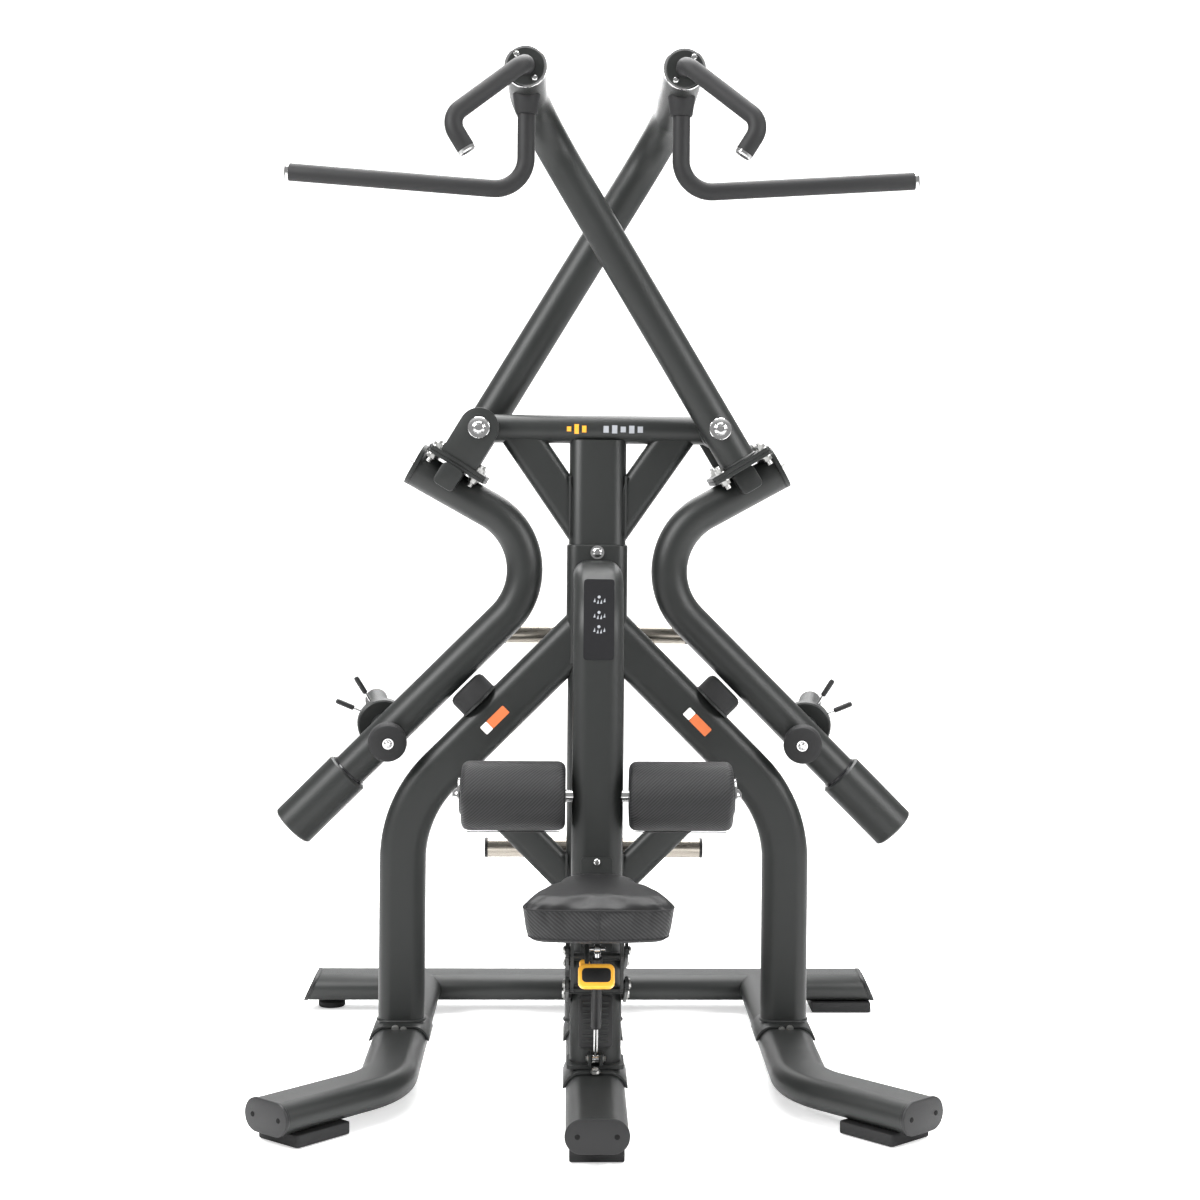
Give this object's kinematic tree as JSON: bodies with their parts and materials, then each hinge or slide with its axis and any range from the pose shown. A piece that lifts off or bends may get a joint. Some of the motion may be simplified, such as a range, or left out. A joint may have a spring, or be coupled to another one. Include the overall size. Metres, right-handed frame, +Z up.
{
  "type": "lat pulldown machine",
  "caption": "Plate-loaded lat pulldown gym machine with two crossing levers, weight horns, counterweights, knee rollers and a seat on a gas-spring linkage",
  "frame": {"origin": "centre of the footprint, on the floor", "axes": "+Z up, the front (the user's side) faces -Y, +X to the right seen from the front"},
  "size_m": [1.3344, 1.302, 2.0416],
  "materials": {
    "frame": "dark charcoal satin powder coat with a fine texture",
    "chrome": "bright plated steel",
    "peg": "nickel-plated steel rod",
    "rubber": "matt black rubber",
    "plastic": "moulded black plastic",
    "vinyl": "black vinyl upholstery with an embossed twill",
    "yellow": "yellow plastic",
    "board": "black painted plywood"
  },
  "bodies": {
    "frame": {"rear_crossbar": "frame", "rear_cap_left": "plastic", "rear_cap_right": "plastic", "base_rail_left": "frame", "base_rail_right": "frame", "base_beam_centre": "frame", "rail_cap_left": "plastic", "rail_cap_right": "plastic", "beam_cap_centre": "plastic", "foot_front_left": "rubber", "foot_front_right": "rubber", "foot_rear_left": "rubber", "foot_rear_right": "rubber", "foot_centre": "rubber", "side_frame_left": "frame", "side_frame_right": "frame", "rear_column": "frame", "top_crossbar": "frame", "top_brace_left": "frame", "top_brace_right": "frame", "lower_brace_left": "frame", "lower_brace_right": "frame", "front_post": "frame", "bumper_left": "rubber", "bumper_right": "rubber", "storage_peg_upper": "peg", "storage_peg_lower": "peg", "roller_axle": "chrome"},
    "front_lever": {"front_lever_tube": "frame", "front_lever_fork": "frame", "front_weight_arm": "frame", "front_pivot_shaft": "chrome", "front_weight_horn": "frame", "front_horn_cap": "rubber", "front_counterweight": "frame", "front_handle_wide": "rubber", "front_handle_short": "rubber"},
    "rear_lever": {"rear_lever_tube": "frame", "rear_lever_fork": "frame", "rear_weight_arm": "frame", "rear_pivot_shaft": "chrome", "rear_weight_horn": "frame", "rear_horn_cap": "rubber", "rear_counterweight": "frame", "rear_handle_wide": "rubber", "rear_handle_short": "rubber"},
    "front_collar": {"front_spring_collar": "chrome"},
    "rear_collar": {"rear_spring_collar": "chrome"},
    "roller_left": {"roller_left": "vinyl", "roller_disc_left": "chrome"},
    "roller_right": {"roller_right": "vinyl", "roller_disc_right": "chrome"},
    "lower_link": {"seat_lower_link": "frame"},
    "upper_link": {"seat_upper_link": "frame"},
    "seat": {"seat_carriage": "frame", "seat_board": "board", "seat_cushion": "vinyl"},
    "spring_rod": {"gas_spring_rod": "chrome"},
    "spring_body": {"gas_spring_body": "plastic"},
    "release": {"release_lever": "yellow"}
  },
  "joints": [
    {"name": "front_lever_swing", "type": "hinge", "parent": "frame", "child": "front_lever", "pos_m": [0.25, 0.09, 1.338], "axis": [0, -1, 0], "range_deg": [0, 47]},
    {"name": "rear_lever_swing", "type": "hinge", "parent": "frame", "child": "rear_lever", "pos_m": [-0.25, 0.09, 1.338], "axis": [0, 1, 0], "range_deg": [0, 47]},
    {"name": "front_collar_slide", "type": "slide", "parent": "front_lever", "child": "front_collar", "axis": [0.147, 0.9781, 0.147], "range_m": [0, 0.165]},
    {"name": "rear_collar_slide", "type": "slide", "parent": "rear_lever", "child": "rear_collar", "axis": [-0.147, 0.9781, 0.147], "range_m": [0, 0.165]},
    {"name": "left_roller_turn", "type": "hinge", "parent": "frame", "child": "roller_left", "pos_m": [-0.164, -0.25, 0.608], "axis": [1, 0, 0], "continuous": true},
    {"name": "right_roller_turn", "type": "hinge", "parent": "frame", "child": "roller_right", "pos_m": [0.164, -0.25, 0.608], "axis": [1, 0, 0], "continuous": true},
    {"name": "lower_link_swing", "type": "hinge", "parent": "frame", "child": "lower_link", "pos_m": [0, -0.278, 0.225], "axis": [1, 0, 0], "range_deg": [-8, 27]},
    {"name": "upper_link_swing", "type": "hinge", "parent": "frame", "child": "upper_link", "pos_m": [0, -0.272, 0.287], "axis": [1, 0, 0], "range_deg": [-8, 27]},
    {"name": "seat_stays_level", "type": "hinge", "parent": "lower_link", "child": "seat", "pos_m": [0, -0.41895, 0.2763], "axis": [1, 0, 0], "range_deg": [-27, 8]},
    {"name": "spring_tilt", "type": "hinge", "parent": "frame", "child": "spring_rod", "pos_m": [0, -0.328, 0.112], "axis": [1, 0, 0], "range_deg": [-3.2, 10.6]},
    {"name": "spring_stroke", "type": "slide", "parent": "spring_rod", "child": "spring_body", "axis": [0, -0.4173, 0.9088], "range_m": [-0.057, 0.017]},
    {"name": "release_lift", "type": "hinge", "parent": "seat", "child": "release", "pos_m": [-0.02, -0.456, 0.362], "axis": [-1, 0, 0], "range_deg": [0, 15], "stiffness_Nm_per_rad": 0.3, "springref_deg": -11.46}
  ],
  "couplings": [
    {"joint": "upper_link_swing", "follows": "lower_link_swing", "ratio": 1},
    {"joint": "seat_stays_level", "follows": "lower_link_swing", "ratio": -1},
    {"joint": "spring_tilt", "follows": "lower_link_swing", "ratio": 0.387},
    {"joint": "spring_stroke", "follows": "lower_link_swing", "m_per_rad": -0.1196}
  ]
}
